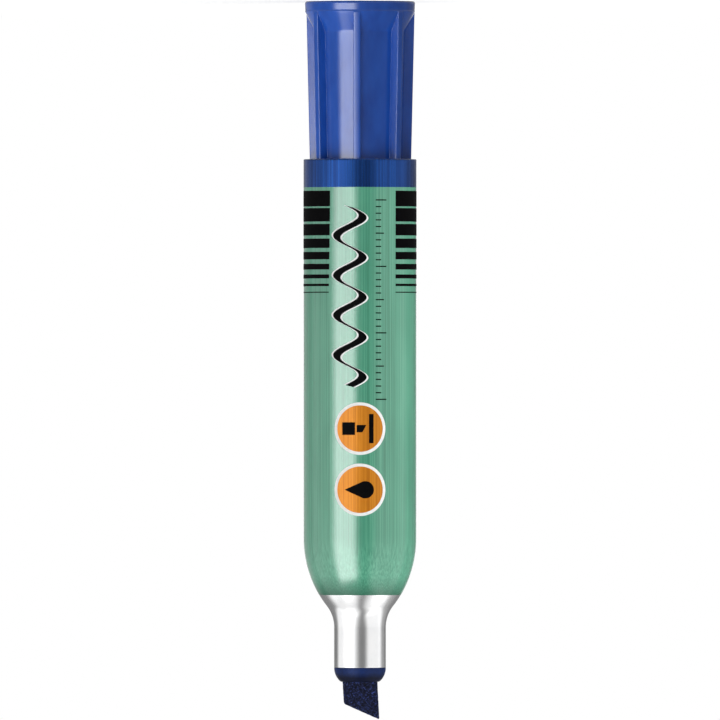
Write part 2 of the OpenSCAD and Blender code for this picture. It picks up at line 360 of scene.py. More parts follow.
def relief(tree, shader, height, depth, layer="Normal"):
    """Fine relief of a depth in metres, on the main layer or another one."""
    bump = tree.nodes.new("ShaderNodeBump")
    bump.inputs["Distance"].default_value = depth
    tree.links.new(height, bump.inputs["Height"])
    tree.links.new(bump.outputs["Normal"], shader.inputs[layer])


def surface(tree, shader, colour, roughness):
    """Joins a colour and a roughness to the main shader."""
    tree.links.new(colour, shader.inputs["Base Color"])
    tree.links.new(roughness, shader.inputs["Roughness"])


def uneven(tree, factor, roughness, spread, span=GRAIN_SPAN):
    """Roughness that runs between two shares of itself as the factor rises."""
    return between(tree, factor, *[roughness * share for share in spread], span)


def bare_aluminium(name, roughness, line_depth):
    """Turned aluminium with fine marks that run round it."""
    material, tree, shader = new_material(name)
    marks = grain(tree, TURNING_MARK, TURNING_DRAW, detail=4, roughness=0.6)
    colour = shades(tree, grain(tree, METAL_CLOUD), METAL_TONES)
    surface(tree, shader, colour, uneven(tree, marks, roughness, METAL_SPREAD))
    shader.inputs["Metallic"].default_value = 1
    relief(tree, shader, marks, line_depth)
    return material


neck_heights = (NECK_Z, NECK_Z + EDGE_BAND, NECK_END_Z - NECK_EDGE - EDGE_BAND)
barrel_runs = [
    (arc(BARREL_R - RIM_ROUND, RIM_Z + RIM_ROUND, RIM_ROUND, -90, 0, RIM_STEPS), BARE_METAL),
    ([(BARREL_R, SHOULDER_Z)], BARE_METAL),
    (shoulder(0, SHOULDER_Z, NECK_Z), BARE_METAL),
    ([(NECK_R, z) for z in neck_heights], BARE_METAL),
    (arc(NECK_R - NECK_EDGE, NECK_END_Z - NECK_EDGE, NECK_EDGE, 0, 90, NECK_EDGE_STEPS), BARE_METAL),
    ([(NECK_R - BARREL_WALL, NECK_END_Z), (NECK_R - BARREL_WALL, NECK_Z)], INSIDE_METAL),
    (shoulder(-BARREL_WALL, SHOULDER_Z, NECK_Z)[::-1], INSIDE_METAL),
    ([(BORE_R, SHOULDER_Z)], INSIDE_METAL),
    (arc(BORE_R + RIM_ROUND, RIM_Z + RIM_ROUND, RIM_ROUND, 180, 270, BORE_RIM_STEPS), BARE_METAL),
]
barrel_points = [point for run, _ in barrel_runs for point in run]
barrel = skinned(
    "barrel_shell",
    turned(barrel_points, around(BARREL_SIDES)),
    [
        bare_aluminium("polished_aluminium", roughness=0.2, line_depth=0.0002 * MM),
        bare_aluminium("drawn_aluminium", roughness=0.34, line_depth=0.004 * MM),
    ],
    [finish for run, finish in barrel_runs for _ in run],
    looped=True,
)
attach(barrel, "pen")
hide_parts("barrel")

# Lacquer
# Clear coloured lacquer, rolled in a thin coat onto the brushed outside of the barrel and baked.
# It is green up to the end of the shoulder, with a blue band at the rear that wraps onto the rim's edge.
LACQUER = 0.012 * MM
LACQUER_SEAT = 0.012 * MM
BAND_END_Z = 28.05 * MM
LACQUER_END_Z = 89.5 * MM
# Painted shade at the end of the green coat on the shoulder: its reach, colour, share and coat weight.
PAINTED_SHADE_REACH = 2.9 * MM
PAINTED_SHADE_COLOUR = (0.012, 0.07, 0.04)
PAINTED_SHADE_SHARE = 0.8
SHADED_END_COAT = 0.45
COAT_START = -45
COAT_START_STEPS = 4
STREAK = 0.16 * MM
STREAK_DRAW = (1, 1, 300)
STREAK_SHARE = 0.75
STREAK_DEPTH = 0.006 * MM
COAT_DEPTH = 0.01 * MM
LACQUER_CLOUD = 5 * MM
LACQUER_CLOUD_DRAW = (1, 1, 3)
LACQUER_STOPS = (0.38, 0.5, 0.62)
MIX_SHARE, MIX_FIRST, MIX_SECOND, MIX_RESULT = 0, 6, 7, 2


def on_shoulder(lift, z):
    """Point of the shoulder's round part at a height."""
    rise = z - SHOULDER_Z
    return (BARREL_R - SHOULDER_ROUND + math.sqrt((SHOULDER_ROUND + lift) ** 2 - rise**2), z)


def by_height(tree, low, high, span):
    """Output that runs from low to high over a span of heights on the marker."""
    place = tree.nodes.new("ShaderNodeTexCoord")
    axes = tree.nodes.new("ShaderNodeSeparateXYZ")
    tree.links.new(place.outputs["Object"], axes.inputs["Vector"])
    return between(tree, axes.outputs["Z"], low, high, span)


def tinted(tree, colour, share, tint):
    """Colour that goes over to a tint by a share. The sockets for colours are known by their places."""
    made = tree.nodes.new("ShaderNodeMix")
    made.data_type = "RGBA"
    tree.links.new(share, made.inputs[MIX_SHARE])
    tree.links.new(colour, made.inputs[MIX_FIRST])
    made.inputs[MIX_SECOND].default_value = (*tint, 1)
    return made.outputs[MIX_RESULT]


def brushed_lacquer(name, tones, metal, roughness, coat):
    """Clear coloured lacquer in three tones over metal that was brushed along the barrel."""
    material, tree, shader = new_material(name)
    streak = grain(tree, STREAK, STREAK_DRAW, detail=5, roughness=0.62)
    cloud = grain(tree, LACQUER_CLOUD, LACQUER_CLOUD_DRAW, detail=2)
    streak_part = maths(tree, "MULTIPLY", streak, STREAK_SHARE)
    cloud_part = maths(tree, "MULTIPLY", cloud, 1 - STREAK_SHARE)
    depth = maths(tree, "ADD", streak_part, cloud_part)
    colour = shades(tree, depth, list(zip(LACQUER_STOPS, tones)))
    surface(tree, shader, colour, between(tree, streak, *roughness, GRAIN_SPAN))
    shader.inputs["Metallic"].default_value = metal
    shader.inputs["Specular IOR Level"].default_value = 0.1
    shader.inputs["Coat Weight"].default_value = coat
    shader.inputs["Coat Roughness"].default_value = 0.14
    shader.inputs["Coat IOR"].default_value = 1.75
    relief(tree, shader, streak, STREAK_DEPTH)
    relief(tree, shader, streak, COAT_DEPTH, "Coat Normal")
    return material


def blue_lacquer():
    """Blue lacquer thin enough for the metal to shine through."""
    blues = ((0.0095, 0.042, 0.188), (0.0138, 0.074, 0.315), (0.0215, 0.105, 0.425))
    return brushed_lacquer("blue_lacquer", blues, metal=1, roughness=(0.2, 0.3), coat=0.12)


def green_lacquer():
    """Green lacquer with painted shade: darker and less glossy towards its end on the shoulder."""
    greens = ((0.038, 0.202, 0.122), (0.056, 0.272, 0.168), (0.09, 0.342, 0.218))
    material = brushed_lacquer("green_lacquer", greens, metal=0.02, roughness=(0.28, 0.42), coat=1)
    tree = material.node_tree
    shader = tree.nodes["Principled BSDF"]
    # Painted shade: over the last part before the coat's end, the colour goes darker and the coat weight
    # falls, where the shoulder turns away from the lamps.
    span = (LACQUER_END_Z - PAINTED_SHADE_REACH, LACQUER_END_Z)
    colour = shader.inputs["Base Color"].links[0].from_socket
    shaded_end = tinted(tree, colour, by_height(tree, 0, PAINTED_SHADE_SHARE, span), PAINTED_SHADE_COLOUR)
    tree.links.new(shaded_end, shader.inputs["Base Color"])
    tree.links.new(by_height(tree, 1, SHADED_END_COAT, span), shader.inputs["Coat Weight"])
    return material


def band_side(lift):
    """Side of the blue band, from the rim's round edge to its end, lifted off the metal."""
    edge_z = RIM_Z + RIM_ROUND
    points = arc(BARREL_R - RIM_ROUND, edge_z, RIM_ROUND + lift, COAT_START, 0, COAT_START_STEPS)
    return points + [(BARREL_R + lift, z) for z in (edge_z + EDGE_BAND, BAND_END_Z)]


def green_side(lift):
    """Side of the green coat, from the band to its end on the shoulder, lifted off the metal."""
    points = [(BARREL_R + lift, z) for z in (BAND_END_Z, SHOULDER_Z - EDGE_BAND, SHOULDER_Z)]
    return points + shoulder(lift, SHOULDER_Z, LACQUER_END_Z) + [on_shoulder(lift, LACQUER_END_Z)]


def coat(name, side, finish):
    """Thin closed coat of lacquer that sits in the metal's face and stands proud of it."""
    points = side(LACQUER) + side(-LACQUER_SEAT)[::-1]
    made = skinned(name, turned(points, around(BARREL_SIDES)), [finish], looped=True)
    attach(made, "pen")
    return made


band = coat("barrel_band", band_side, blue_lacquer())
coat("barrel_lacquer", green_side, green_lacquer())
# The cards: a lamp for the metal lights only these pieces, and a lamp kept off it leaves them out.
for piece in (barrel, band):
    on_the_metal.objects.link(piece)
    off_the_metal.objects.link(piece)
off_the_bare_metal.objects.link(barrel)
for linked in (*off_the_metal.collection_objects, *off_the_bare_metal.collection_objects):
    linked.light_linking.link_state = "EXCLUDE"

# Print
# Ink laid on the lacquer by a pad: stripes round the back that thin out towards the nib, a sample stroke,
# a scale in millimetres and two round badges. It stands proud of the lacquer by the thickness of the ink.
INK = 0.012 * MM
INK_FILM = 0.5 * MM
INK_STOPS = (0.35, 0.75)
INK_PALER = (1.15, 0.001)
INK_ROUGHNESS = (0.5, 0.62)
INK_SKIN = 0.09 * MM
INK_RELIEF = 0.002 * MM
PRINT_BEND = 0.3 * MM
PRINT_WELD = 0.001 * MM
CUT_NEAR = 0.002 * MM
STRIPE_COUNT = 9
STRIPE_START_Z = 28.6 * MM
STRIPE_HEIGHT = 2.35 * MM
STRIPE_THINNING = 1.25
STRIPE_PITCH = 2.6 * MM
STRIPE_PITCH_LOSS = 0.2 * MM
STRIPES_FROM = 39
STRIPES_TO = 328
STRIPES_SLANT = 1.7
SCALE_FROM_Z = 30 * MM
SCALE_LENGTH = 30
SCALE_SIDE = 2.4 * MM
TICK_HEIGHT = 0.17 * MM
TICK = 0.85 * MM
FIVE_TICK = 1.3 * MM
TEN_TICK = 1.7 * MM
STROKE_FROM_Z = 31 * MM
STROKE_LENGTH = 27 * MM
STROKE_SIDE = -1.6 * MM
STROKE_SWING = 2.0 * MM
STROKE_WAVES = 4.5
STROKE_HALF = 0.62 * MM
STROKE_KEYLINE = 0.28 * MM
STROKE_EDGE_TILT = 15
STROKE_STEPS = 180
BADGE_R = 3.5 * MM
BADGE_KEYLINE = 0.45 * MM
BADGE_PLACES = (64.4 * MM, 73.6 * MM)
BADGE_STEPS = 72
DROP_R = 1.3
DROP_MIDDLE = -0.8
DROP_TIP = 2.35


def ink(name, colour):
    """Dense printing ink with a slightly uneven film."""
    material, tree, shader = new_material(name)
    film = grain(tree, INK_FILM, detail=4)
    paler = [part * INK_PALER[0] + INK_PALER[1] for part in colour]
    tones = shades(tree, film, list(zip(INK_STOPS, (colour, paler))))
    surface(tree, shader, tones, between(tree, film, *INK_ROUGHNESS, GRAIN_SPAN))
    shader.inputs["Specular IOR Level"].default_value = 0.02
    relief(tree, shader, grain(tree, INK_SKIN), INK_RELIEF)
    return material


def printed(name, outlines, layer, material):
    """Ink bent round the barrel from flat outlines of distance to the picture's right and height."""
    base = LACQUER + layer * INK
    shape = bmesh.new()
    for outline in outlines:
        shape.faces.new([shape.verts.new((side, z, 0)) for side, z in outline])
    bmesh.ops.remove_doubles(shape, verts=shape.verts, dist=PRINT_WELD)
    underside = shape.faces[:]
    for face in underside:
        face.normal_update()
        if face.normal.z > 0:
            face.normal_flip()
    raised = bmesh.ops.extrude_face_region(shape, geom=underside, use_keep_orig=True)
    for vert in raised["geom"]:
        if isinstance(vert, bmesh.types.BMVert):
            vert.co.z = 2 * INK
    sides = [v.co.x for v in shape.verts]
    for i in range(math.ceil(min(sides) / PRINT_BEND), math.ceil(max(sides) / PRINT_BEND)):
        parts = shape.verts[:] + shape.edges[:] + shape.faces[:]
        cut_at = (i * PRINT_BEND, 0, 0)
        bmesh.ops.bisect_plane(shape, geom=parts, dist=CUT_NEAR, plane_co=cut_at, plane_no=(1, 0, 0))
    for vert in shape.verts:
        side, z, height = vert.co
        radius = BARREL_R + base - INK + height
        vert.co = (-radius * math.sin(side / BARREL_R), -radius * math.cos(side / BARREL_R), z)
    mesh = bpy.data.meshes.new(name)
    shape.to_mesh(mesh)
    shape.free()
    mesh.shade_smooth()
    mesh.set_sharp_from_angle(angle=math.radians(SHARP_TURN))
    mesh.materials.append(material)
    made = bpy.data.objects.new(name, mesh)
    bpy.context.scene.collection.objects.link(made)
    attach(made, "pen")


def block(left, right, low, high):
    """Outline of a plain block of print."""
    return [(left, low), (right, low), (right, high), (left, high)]


def stripe_outlines():
    """Stripes round the back, each thinner and closer than the one before."""
    outlines = []
    low = STRIPE_START_Z
    span = math.radians(1) * BARREL_R
    for i in range(STRIPE_COUNT):
        high = low + STRIPE_HEIGHT * ((STRIPE_COUNT - i) / STRIPE_COUNT) ** STRIPE_THINNING
        slant = STRIPES_SLANT * i / STRIPE_COUNT
        outlines.append(block(STRIPES_FROM * span, (STRIPES_TO - slant) * span, low, high))
        low += STRIPE_PITCH - i * STRIPE_PITCH_LOSS
    return outlines


def scale_outlines():
    """Ticks of a scale in millimetres, longer at every fifth and tenth."""
    outlines = []
    for i in range(SCALE_LENGTH + 1):
        length = TEN_TICK if i % 10 == 0 else FIVE_TICK if i % 5 == 0 else TICK
        low = SCALE_FROM_Z + i * MM - TICK_HEIGHT / 2
        outlines.append(block(SCALE_SIDE, SCALE_SIDE + length, low, low + TICK_HEIGHT))
    return outlines


def stroke_outlines(half):
    """Short lengths of a wavy stroke, drawn with a slanted edge of a half width."""
    tilt = math.radians(STROKE_EDGE_TILT)
    reach = (half * math.cos(tilt), half * math.sin(tilt))
    line = []
    for i in range(STROKE_STEPS + 1):
        share = i / STROKE_STEPS
        side = STROKE_SIDE + STROKE_SWING * math.sin(2 * math.pi * STROKE_WAVES * share)
        line.append((side, STROKE_FROM_Z + STROKE_LENGTH * share))
    outlines = []
    for (side, z), (next_side, next_z) in zip(line, line[1:]):
        outlines.append([
            (side - reach[0], z - reach[1]),
            (side + reach[0], z + reach[1]),
            (next_side + reach[0], next_z + reach[1]),
            (next_side - reach[0], next_z - reach[1]),
        ])
    return outlines


def disc(middle_z, radius):
    """Outline of a round badge."""
    return [(radius * math.cos(a), middle_z + radius * math.sin(a)) for a in around(BADGE_STEPS)]


def sign(middle_z, points):
    """Outline of a sign from points in millimetres, ahead towards the cap and up to the picture's left."""
    return [(-up * MM, middle_z - ahead * MM) for ahead, up in points]


drop_turns = [math.radians(a) for a in range(150, 391, 10)]
drop_round = [(DROP_R * math.cos(t), DROP_R * math.sin(t) + DROP_MIDDLE) for t in drop_turns]
drop = sign(BADGE_PLACES[1], [(0, DROP_TIP)] + drop_round)
pen_body = sign(BADGE_PLACES[0], [(-0.95, 2.7), (-0.95, 0.75), (0.95, 0.75), (0.95, 2.7)])
pen_nib = sign(BADGE_PLACES[0], [(-0.55, 0.5), (-0.55, -0.35), (0.55, -0.95), (0.55, 0.5)])
pen_line = sign(BADGE_PLACES[0], [(-2.2, -1.35), (-2.2, -2.05), (2.2, -2.05), (2.2, -1.35)])

black_ink = ink("black_ink", (0.0015, 0.0015, 0.0018))
white_ink = ink("white_ink", (0.72, 0.73, 0.72))
oranges = ((0.4, 0.125, 0.008), (0.52, 0.182, 0.012), (0.63, 0.24, 0.02))
orange_ink = brushed_lacquer("orange_ink", oranges, metal=0.2, roughness=(0.28, 0.42), coat=0.06)
badge_rings = [disc(z, BADGE_R + BADGE_KEYLINE) for z in BADGE_PLACES]
badge_discs = [disc(z, BADGE_R) for z in BADGE_PLACES]
printed("print_stripes", stripe_outlines(), 1, black_ink)
printed("print_scale", scale_outlines(), 1, black_ink)
printed("print_stroke_keyline", stroke_outlines(STROKE_HALF + STROKE_KEYLINE), 1, white_ink)
printed("print_stroke", stroke_outlines(STROKE_HALF), 2, black_ink)
printed("print_badge_keylines", badge_rings, 1, white_ink)
printed("print_badges", badge_discs, 2, orange_ink)
printed("print_signs", [drop, pen_body, pen_nib, pen_line], 3, black_ink)

# Ink reservoir
# A rod of bonded fibre soaked with ink, wrapped in a thin film, with a breather tube along one side.
# It slides into the barrel from the rear, and a plastic plug closes the barrel behind it.
FIBRE = 0.05 * MM
FIBRE_DRAW = (1, 1, 40)
FIBRE_RELIEF = 0.02 * MM
FIBRE_ROUGHNESS = (0.6, 0.9)
FIBRE_TONES = ((0.3, (0.008, 0.012, 0.07)), (0.7, (0.06, 0.09, 0.36)))
MOULD_CLOUD = 1.8 * MM
MOULD_CLOUD_DRAW = (1, 1, 1.6)
MOULD_SKIN = 0.08 * MM
MOULD_SPREAD = (0.85, 1.2)
MOULD_RELIEF = 0.004 * MM


def soaked_fibre():
    """Bonded fibres that run along the rod, dark with ink."""
    material, tree, shader = new_material("soaked_fibre")
    fibre = grain(tree, FIBRE, FIBRE_DRAW, detail=4, roughness=0.6)
    surface(tree, shader, shades(tree, fibre, FIBRE_TONES), between(tree, fibre, *FIBRE_ROUGHNESS))
    relief(tree, shader, fibre, FIBRE_RELIEF)
    return material


def moulded(name, dark, light, roughness):
    """Natural plastic with the slight cloudiness and fine skin of a moulding."""
    material, tree, shader = new_material(name)
    cloud = grain(tree, MOULD_CLOUD, MOULD_CLOUD_DRAW)
    skin = grain(tree, MOULD_SKIN, detail=4)
    colour = shades(tree, cloud, list(zip(GRAIN_SPAN, (dark, light))))
    surface(tree, shader, colour, uneven(tree, skin, roughness, MOULD_SPREAD))
    relief(tree, shader, skin, MOULD_RELIEF)
    return material


inner_finishes = {
    "reservoir_core": soaked_fibre(),
    "reservoir_film": moulded("wrapping_film", (0.3, 0.36, 0.5), (0.45, 0.5, 0.62), roughness=0.3),
    "breather_tube": moulded("tube_plastic", (0.62, 0.62, 0.6), (0.74, 0.74, 0.72), roughness=0.42),
    "tail_plug": moulded("plug_plastic", (0.6, 0.6, 0.58), (0.72, 0.72, 0.7), roughness=0.45),
}
for node_name, inner_finish in inner_finishes.items():
    node_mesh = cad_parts[node_name].data
    node_mesh.materials.clear()
    node_mesh.materials.append(inner_finish)

# Nib holder
# A blue plastic plug, moulded in one piece and pushed into the neck until its snap lip catches behind it.
# Its rounded nose covers the neck's edge, and its slot grips the nib, with an air channel on each side.
NIB_W = 5.2 * MM
NIB_T = 3.1 * MM
NIB_ROUND = 1.0 * MM
SLOT_GAP = 0.04 * MM
HOLDER_WALL = 0.7 * MM
NOSE_EDGE = 0.2 * MM
NOSE_ROUND_OFF = 0.12 * MM
AIR_CHANNEL_R = 0.3 * MM
SNAP_LIP = 0.3 * MM
SNAP_LIP_LENGTH = 1.0 * MM
SNAP_BACK = 2.6 * MM
SLOT_FLARE = 0.08 * MM
SLOT_FLARE_DEPTH = 0.1 * MM
SLOT_STEPS = 240
PLASTIC_CLOUD = 3.2 * MM
PLASTIC_CLOUD_DRAW = (1, 1, 2.2)
PLASTIC_STOPS = (0.3, 0.5, 0.72)
PLASTIC_SKIN = 0.12 * MM
PLASTIC_RELIEF = 0.002 * MM
RUB = 0.35 * MM
RUB_DRAW = (1, 1, 14)
RUB_SPREAD = (0.8, 1.35)
RUB_SPAN = (0.35, 0.72)
# Ink stain and painted shadow round the nib on the holder's nose: its reach, ragged edge, spread, strength
# and colour.
STAIN_AND_SHADE_REACH = 1.5 * MM
STAIN_AND_SHADE_CREEP = 0.5 * MM
STAIN_AND_SHADE_CREEP_SHARE = 0.4
STAIN_AND_SHADE_SPAN = (0.2, 1)
STAIN_AND_SHADE_MOST = 0.9
STAIN_AND_SHADE_COLOUR = (0.0015, 0.002, 0.008)

holder_low, holder_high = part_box("nib_holder")
NOSE_Z = holder_high.z
nib_reach = math.hypot(NIB_W / 2 - NIB_ROUND, NIB_T / 2 - NIB_ROUND) + NIB_ROUND
SHANK_R = nib_reach + SLOT_GAP + HOLDER_WALL
NOSE_END_R = nib_reach + SLOT_GAP + NOSE_EDGE


def nib_outline(share, grow):
    """Point at a share of the way round the nib's rounded section, grown outwards."""
    flat_w, flat_t = NIB_W / 2 - NIB_ROUND, NIB_T / 2 - NIB_ROUND
    radius = NIB_ROUND + grow
    corners = ((flat_w, flat_t), (-flat_w, flat_t), (-flat_w, -flat_t), (flat_w, -flat_t))
    walk = share * (4 * flat_w + 4 * flat_t + 2 * math.pi * radius)
    for i, (x, y) in enumerate(corners):
        turn = i * math.pi / 2
        side = 2 * (flat_t if i % 2 == 0 else flat_w)
        if walk <= side:
            back = side - walk
            return (
                x + radius * math.cos(turn) + back * math.sin(turn),
                y + radius * math.sin(turn) - back * math.cos(turn),
            )
        walk -= side
        turn += min(walk / radius, math.pi / 2)
        if walk <= radius * math.pi / 2:
            return (x + radius * math.cos(turn), y + radius * math.sin(turn))
        walk -= radius * math.pi / 2
    return (flat_w + radius, -flat_t)


def slot_ring(z, grow):
    """Ring of the slot round the nib, with its two air channels."""
    ring = []
    for i in range(SLOT_STEPS):
        x, y = nib_outline(i / SLOT_STEPS, SLOT_GAP + grow)
        if abs(x) < AIR_CHANNEL_R:
            y += math.copysign(math.sqrt(AIR_CHANNEL_R**2 - x**2), y)
        ring.append((x, y, z))
    return ring


def glossy_plastic(name, tones, roughness, gloss):
    """Coloured plastic with flow clouds from the mould in three tones, a fine skin and faint rubs."""
    material, tree, shader = new_material(name)
    cloud = grain(tree, PLASTIC_CLOUD, PLASTIC_CLOUD_DRAW)
    skin = grain(tree, PLASTIC_SKIN, detail=4)
    rubs = grain(tree, RUB, RUB_DRAW, detail=5, roughness=0.65)
    colour = shades(tree, cloud, list(zip(PLASTIC_STOPS, tones)))
    surface(tree, shader, colour, uneven(tree, rubs, roughness, RUB_SPREAD, RUB_SPAN))
    shader.inputs["Specular IOR Level"].default_value = gloss
    relief(tree, shader, skin, PLASTIC_RELIEF)
    return material


def stained_and_shaded_plastic():
    """The holder's plastic, darker all over with painted shade, and dark towards the nose with an ink stain
    and painted shadow round the nib.
    """
    # Painted shade: these blues are far darker than the cap's, for a holder that faces away from the lamps.
    blues = ((0.003, 0.012, 0.056), (0.0045, 0.016, 0.08), (0.007, 0.024, 0.11))
    material = glossy_plastic("holder_shaded_blue", blues, roughness=0.4, gloss=0.09)
    tree = material.node_tree
    colour = tree.nodes["Principled BSDF"].inputs["Base Color"]
    # Ink stain and painted shadow: the colour goes dark over the last of the nose, with a ragged edge.
    ragged_edge = maths(tree, "MULTIPLY", grain(tree, STAIN_AND_SHADE_CREEP), STAIN_AND_SHADE_CREEP_SHARE)
    rise = by_height(tree, 0, 1, (NOSE_Z - STAIN_AND_SHADE_REACH, NOSE_Z - STAIN_AND_SHADE_REACH / 4))
    stain_and_shade = between(tree, maths(tree, "ADD", rise, ragged_edge), 0, STAIN_AND_SHADE_MOST, STAIN_AND_SHADE_SPAN)
    tree.links.new(tinted(tree, colour.links[0].from_socket, stain_and_shade, STAIN_AND_SHADE_COLOUR), colour)
    return material


nose_length = NOSE_Z - NECK_END_Z
nose_drop = NECK_R - NOSE_END_R
nose_round = (nose_length**2 + nose_drop**2) / (2 * nose_drop)
nose_turn = math.degrees(math.asin((nose_length - NOSE_ROUND_OFF) / nose_round))
lip_z = NECK_Z - SNAP_BACK
holder_profile = [
    (SHANK_R, holder_low.z),
    (SHANK_R, lip_z - SNAP_LIP_LENGTH),
    (SHANK_R + SNAP_LIP, lip_z - SNAP_LIP),
    (SHANK_R + SNAP_LIP, lip_z),
    (SHANK_R, lip_z),
    (SHANK_R, NECK_END_Z),
]
holder_profile += arc(NECK_R - nose_round, NECK_END_Z, nose_round, 0, nose_turn, ARC_STEPS)
holder_profile.append((NOSE_END_R - NOSE_ROUND_OFF / 2, NOSE_Z))
slot_angles = [math.atan2(y, x) for x, y, _ in slot_ring(0, 0)]
slot_rings = [
    slot_ring(NOSE_Z, SLOT_FLARE),
    slot_ring(NOSE_Z - SLOT_FLARE_DEPTH, 0),
    slot_ring(holder_low.z, 0),
]
holder = skinned(
    "nib_holder_plug",
    turned(holder_profile, slot_angles) + slot_rings,
    [stained_and_shaded_plastic()],
    looped=True,
)
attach(holder, "pen")
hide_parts("nib_holder")

# Nib
# A chisel nib of pressed polyester felt, cut on a slant and pushed through the holder into the reservoir.
# It is soaked with dark blue ink, its edges are worn round, and its fibres make it rough all over.
NIB_SWELL = 0.05 * MM
NIB_OUT = 5.75 * MM
NIB_CUT = 24
NIB_LEAN = 3
NIB_WEAR = 0.32 * MM
NIB_SIDES = 168
NIB_TAIL_STEPS = 2
NIB_TAIL_FACE = (0, 0.9)
NIB_RINGS = 64
NIB_WEAR_STEPS = 7
NIB_FACE_RINGS = 18
FELT_START = 0.5 * MM
FELT_LUMP = 0.55 * MM
FELT_LUMP_DEPTH = 0.05 * MM
FELT_FIBRE = 0.16 * MM
FELT_FIBRE_DEPTH = 0.045 * MM
FELT_FIBRE_DRAW = 0.6
STRAND_SIZE = (0.17 * MM, 0.17 * MM, 0.9 * MM)
STRAND_LEANS = ((0.3, 0.9, 0), (-0.5, -0.7, 0.4), (1.2, 0.15, 0.8))
STRAND_TONES = ((0.52, (0.0015, 0.002, 0.008)), (0.62, (0.006, 0.01, 0.04)), (0.76, (0.04, 0.068, 0.28)))
STRAND_ROUGHNESS = (0.85, 0.55)
STRAND_SPAN = (0.45, 0.8)
STRAND_RELIEF = 0.05 * MM

nib_low, nib_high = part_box("nib")
swell_z = NOSE_Z + SLOT_GAP
lean = math.tan(math.radians(NIB_LEAN))
cut = math.tan(math.radians(NIB_CUT))
long_x = (NIB_W / 2 + NIB_SWELL) / math.cos(math.radians(NIB_LEAN)) + NIB_OUT * lean


def nib_end(x):
    """Height of the slanted cut over a place across the nib."""
    return nib_high.z - (x + long_x) * cut


def nib_ring(share, shrink, drop):
    """Ring of the nib's tip at a share of the way to its end, which lies a drop below the cut."""
    ring = []
    for i in range(NIB_SIDES):
        x, y = nib_outline(i / NIB_SIDES, NIB_SWELL)
        x, y = x * shrink[0], y * shrink[1]
        top = (nib_end(x) - swell_z * lean * cut) / (1 - lean * cut)
        z = swell_z + (top - drop - swell_z) * share
        ring.append((x - (z - swell_z) * lean, y, z))
    return ring


def felt_height(place):
    """Height of the lumps and fibres of the felt at a place on the nib."""
    showing = min(1, max(0, (place.z - NOSE_Z) / FELT_START))
    lump = noise.noise(place / FELT_LUMP)
    fibre = noise.noise(Vector((place.x, place.y, place.z * FELT_FIBRE_DRAW)) / FELT_FIBRE)
    return showing * (lump * FELT_LUMP_DEPTH + fibre * FELT_FIBRE_DEPTH - FELT_LUMP_DEPTH)


def ink_soaked_felt():
    """Dark felt with paler fibres that cross each other."""
    material, tree, shader = new_material("ink_soaked_felt")
    strands = None
    for strand_lean in STRAND_LEANS:
        place = tree.nodes.new("ShaderNodeTexCoord")
        fit = tree.nodes.new("ShaderNodeMapping")
        fit.vector_type = "TEXTURE"
        fit.inputs["Rotation"].default_value = strand_lean
        fit.inputs["Scale"].default_value = STRAND_SIZE
        made = tree.nodes.new("ShaderNodeTexNoise")
        made.inputs["Scale"].default_value = 1
        made.inputs["Detail"].default_value = 3
        made.inputs["Distortion"].default_value = 0.6
        tree.links.new(place.outputs["Object"], fit.inputs["Vector"])
        tree.links.new(fit.outputs["Vector"], made.inputs["Vector"])
        run = made.outputs["Fac"]
        strands = run if strands is None else maths(tree, "MAXIMUM", strands, run)
    colour = shades(tree, strands, STRAND_TONES)
    surface(tree, shader, colour, between(tree, strands, *STRAND_ROUGHNESS, STRAND_SPAN))
    shader.inputs["Specular IOR Level"].default_value = 0.1
    shader.inputs["Sheen Weight"].default_value = 0.05
    shader.inputs["Sheen Roughness"].default_value = 0.4
    shader.inputs["Sheen Tint"].default_value = (0.15, 0.22, 0.9, 1)
    relief(tree, shader, strands, STRAND_RELIEF)
    return material


def worn(inward):
    """Shrink across and through the nib that draws its edge inwards by a distance."""
    return (1 - inward / (NIB_W / 2), 1 - inward / (NIB_T / 2))


nib_rings = []
for i in range(NIB_TAIL_STEPS + 1):
    z = nib_low.z + (NOSE_Z - nib_low.z) * i / NIB_TAIL_STEPS
    nib_rings.append([(*nib_outline(k / NIB_SIDES, 0), z) for k in range(NIB_SIDES)])
for i in range(NIB_RINGS):
    nib_rings.append(nib_ring(i / NIB_RINGS, (1, 1), NIB_WEAR))
for i in range(NIB_WEAR_STEPS + 1):
    turn = math.radians(90 * i / NIB_WEAR_STEPS)
    shrink = worn(NIB_WEAR * (1 - math.cos(turn)))
    nib_rings.append(nib_ring(1, shrink, NIB_WEAR * (1 - math.sin(turn))))
for i in range(1, NIB_FACE_RINGS + 1):
    share = 1 - i / NIB_FACE_RINGS
    nib_rings.append(nib_ring(1, [edge * share for edge in worn(NIB_WEAR)], 0))
tail = [[(x * s, y * s, nib_low.z) for x, y, _ in nib_rings[0]] for s in NIB_TAIL_FACE]
nib = skinned("nib_felt", tail + nib_rings, [ink_soaked_felt()], sharp=80)
felt_heights = [vertex.normal * felt_height(vertex.co) for vertex in nib.data.vertices]
for vertex, height in zip(nib.data.vertices, felt_heights):
    vertex.co += height
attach(nib, "pen")
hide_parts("nib")

# Cap seal
# A thin inner cap of natural plastic, pressed into a socket in the cap's closed end.
# It closes over the neck, so that the nib doesn't dry out.
SEAL_WALL = 0.8 * MM
SEAL_EDGE = 0.2 * MM
SEAL_EDGE_STEPS = 5
SEAL_SIDES = 128

